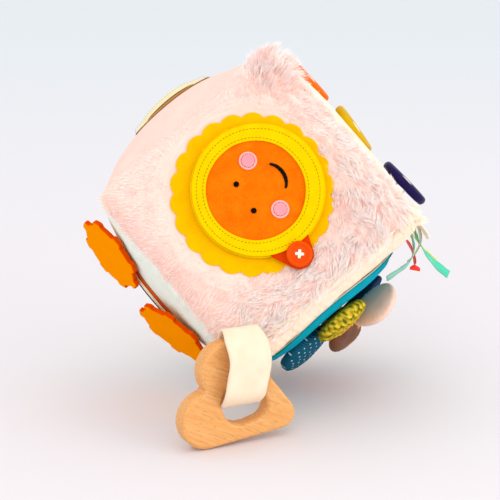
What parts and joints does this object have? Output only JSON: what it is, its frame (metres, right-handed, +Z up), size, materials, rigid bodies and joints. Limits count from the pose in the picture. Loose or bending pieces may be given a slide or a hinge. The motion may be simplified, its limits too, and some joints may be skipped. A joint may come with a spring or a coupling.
{
  "type": "soft activity block",
  "caption": "Stuffed fabric cube for babies with a felt sun flap over a mirror, foam gears, a pocket, large buttons, a petal flower, ribbons and a wooden heart on a strap",
  "frame": {"origin": "on the floor under the middle of the bounding box, with the block standing on its lower rear corner", "axes": "+Z up, -Y towards the viewer of the plush front, +X to that viewer's right"},
  "size_m": [0.2448, 0.2414, 0.2334],
  "materials": {
    "beech": "oiled satin",
    "black_felt": "felt",
    "black_thread": "embroidery thread",
    "blue_cotton": "woven cotton",
    "blush_satin": "satin",
    "brown_lining": "woven cotton",
    "brown_satin": "satin",
    "cheek_felt": "felt",
    "clear_snap": "satin",
    "cream_cotton": "woven cotton",
    "face_orange_felt": "felt",
    "fibre_filling": "polyester fibre",
    "flap_yellow_felt": "felt",
    "gear_felt": "foam-backed felt",
    "hook_tape": "hook and loop tape",
    "large_button_orange": "satin gloss",
    "large_button_purple": "satin gloss",
    "large_button_yellow": "satin gloss",
    "lime_chenille": "chenille",
    "mint_cotton": "woven cotton",
    "mint_ribbon": "satin ribbon",
    "mirror_film": "polished film",
    "navy_cotton": "woven cotton",
    "orange_button": "gloss",
    "pink_plush": "long-pile plush",
    "pocket_cotton": "woven cotton",
    "red_ribbon": "satin ribbon",
    "salmon_cotton": "woven cotton",
    "sun_yellow_felt": "felt",
    "tab_felt": "felt",
    "teal_felt": "felt",
    "teal_ribbon": "satin ribbon",
    "white_thread": "cotton thread",
    "yellow_ribbon": "satin ribbon"
  },
  "bodies": {
    "block": {"back_panel": "cream_cotton", "button_side_panel": "cream_cotton", "corner_ruffle": "cream_cotton", "flap_hinge_tape": "flap_yellow_felt", "flower_centre": "cream_cotton", "flower_side_panel": "cream_cotton", "gear_side_panel": "mint_cotton", "loop_dot": "hook_tape", "peek_mirror": "mirror_film", "plush_front_panel": "pink_plush", "pocket_lining": "brown_lining", "pocket_patch": "pocket_cotton", "pocket_side_panel": "cream_cotton", "ribbon_mint": "mint_ribbon", "ribbon_red": "red_ribbon", "ribbon_teal": "teal_ribbon", "ribbon_yellow": "yellow_ribbon", "snap_stud_lower": "clear_snap", "snap_stud_upper": "clear_snap", "stuffing_core": "fibre_filling", "sun_scallop_base": "sun_yellow_felt", "tag_cream": "cream_cotton", "teal_disc": "teal_felt", "track_strip_black": "black_felt", "track_strip_cream": "cream_cotton", "track_strip_orange": "gear_felt"},
    "sun_flap": {"flap_back_disc": "flap_yellow_felt", "sun_face_disc": "face_orange_felt", "sun_ring": "flap_yellow_felt", "sun_cheek_a": "cheek_felt", "sun_cheek_b": "cheek_felt", "sun_eye_a": "black_thread", "sun_eye_b": "black_thread", "sun_smile": "black_thread", "button_tab": "tab_felt", "tab_button": "orange_button", "tab_thread": "white_thread", "hook_dot": "hook_tape"},
    "gear_upper": {"gear_upper": "gear_felt", "snap_socket_upper": "clear_snap"},
    "gear_lower": {"gear_lower": "gear_felt", "snap_socket_lower": "clear_snap"},
    "big_button_orange": {"big_button_orange": "large_button_orange", "big_thread_orange": "white_thread"},
    "big_button_yellow": {"big_button_yellow": "large_button_yellow", "big_thread_yellow": "white_thread"},
    "big_button_purple": {"big_button_purple": "large_button_purple", "big_thread_purple": "white_thread"},
    "petal_lime": {"petal_lime": "lime_chenille"},
    "petal_blush": {"petal_blush": "blush_satin"},
    "petal_navy": {"petal_navy": "navy_cotton"},
    "petal_brown": {"petal_brown": "brown_satin"},
    "petal_salmon": {"petal_salmon": "salmon_cotton"},
    "petal_blue": {"petal_blue": "blue_cotton"},
    "heart_strap": {"heart_strap": "cream_cotton"},
    "heart_teether": {"heart_teether": "beech"}
  },
  "joints": [
    {"name": "sun_flap_hinge", "type": "hinge", "parent": "block", "child": "sun_flap", "pos_m": [-0.03507, -0.04943, 0.18521], "axis": [-0.7662, -0.1879, -0.6145], "range_deg": [0, 120]},
    {"name": "gear_upper_spin", "type": "hinge", "parent": "block", "child": "gear_upper", "pos_m": [-0.09927, -0.00687, 0.10238], "axis": [-0.7502, -0.4794, -0.4554], "continuous": true},
    {"name": "gear_lower_spin", "type": "hinge", "parent": "block", "child": "gear_lower", "pos_m": [-0.05857, -0.02156, 0.05277], "axis": [-0.6058, -0.4778, -0.6362], "continuous": true},
    {"name": "big_button_orange_twist", "type": "hinge", "parent": "block", "child": "big_button_orange", "pos_m": [0.03063, 0.05208, 0.20733], "axis": [0.7269, -0.0073, 0.6867], "range_deg": [-25, 25], "stiffness_Nm_per_rad": 0.003},
    {"name": "big_button_yellow_twist", "type": "hinge", "parent": "block", "child": "big_button_yellow", "pos_m": [0.06168, 0.04198, 0.17458], "axis": [0.8111, -0.0378, 0.5837], "range_deg": [-25, 25], "stiffness_Nm_per_rad": 0.003},
    {"name": "big_button_purple_twist", "type": "hinge", "parent": "block", "child": "big_button_purple", "pos_m": [0.09709, 0.03094, 0.13775], "axis": [0.7154, -0.0035, 0.6987], "range_deg": [-25, 25], "stiffness_Nm_per_rad": 0.003},
    {"name": "petal_lime_lift", "type": "hinge", "parent": "block", "child": "petal_lime", "pos_m": [0.04904, -0.01264, 0.05375], "axis": [0.7685, 0.1869, 0.6119], "range_deg": [-3, 25], "stiffness_Nm_per_rad": 0.01},
    {"name": "petal_blush_lift", "type": "hinge", "parent": "block", "child": "petal_blush", "pos_m": [0.05872, -0.0075, 0.0539], "axis": [0.2264, 0.9209, 0.3173], "range_deg": [-3, 25], "stiffness_Nm_per_rad": 0.01},
    {"name": "petal_navy_lift", "type": "hinge", "parent": "block", "child": "petal_navy", "pos_m": [0.05562, 0.00299, 0.05459], "axis": [-0.3809, 0.7336, -0.5628], "range_deg": [-3, 7], "stiffness_Nm_per_rad": 0.01},
    {"name": "petal_brown_lift", "type": "hinge", "parent": "block", "child": "petal_brown", "pos_m": [0.05225, 0.00495, 0.04435], "axis": [-0.7685, -0.1869, -0.6119], "range_deg": [-3, 15], "stiffness_Nm_per_rad": 0.01},
    {"name": "petal_salmon_lift", "type": "hinge", "parent": "block", "child": "petal_salmon", "pos_m": [0.04427, 0.00271, 0.04476], "axis": [-0.5912, -0.757, -0.2781], "range_deg": [-3, 11], "stiffness_Nm_per_rad": 0.01},
    {"name": "petal_blue_lift", "type": "hinge", "parent": "block", "child": "petal_blue", "pos_m": [0.04179, -0.00747, 0.04581], "axis": [0.0008, -0.783, 0.622], "range_deg": [-1, 18], "stiffness_Nm_per_rad": 0.01},
    {"name": "heart_strap_swing", "type": "hinge", "parent": "block", "child": "heart_strap", "pos_m": [-0.02649, -0.08217, 0.04126], "axis": [0.9063, 0.4226, 0], "range_deg": [-4, 20]},
    {"name": "heart_swing", "type": "hinge", "parent": "heart_strap", "child": "heart_teether", "pos_m": [-0.01897, -0.0983, 0.04088], "axis": [0.9063, 0.4226, 0], "range_deg": [-1, 13]}
  ]
}
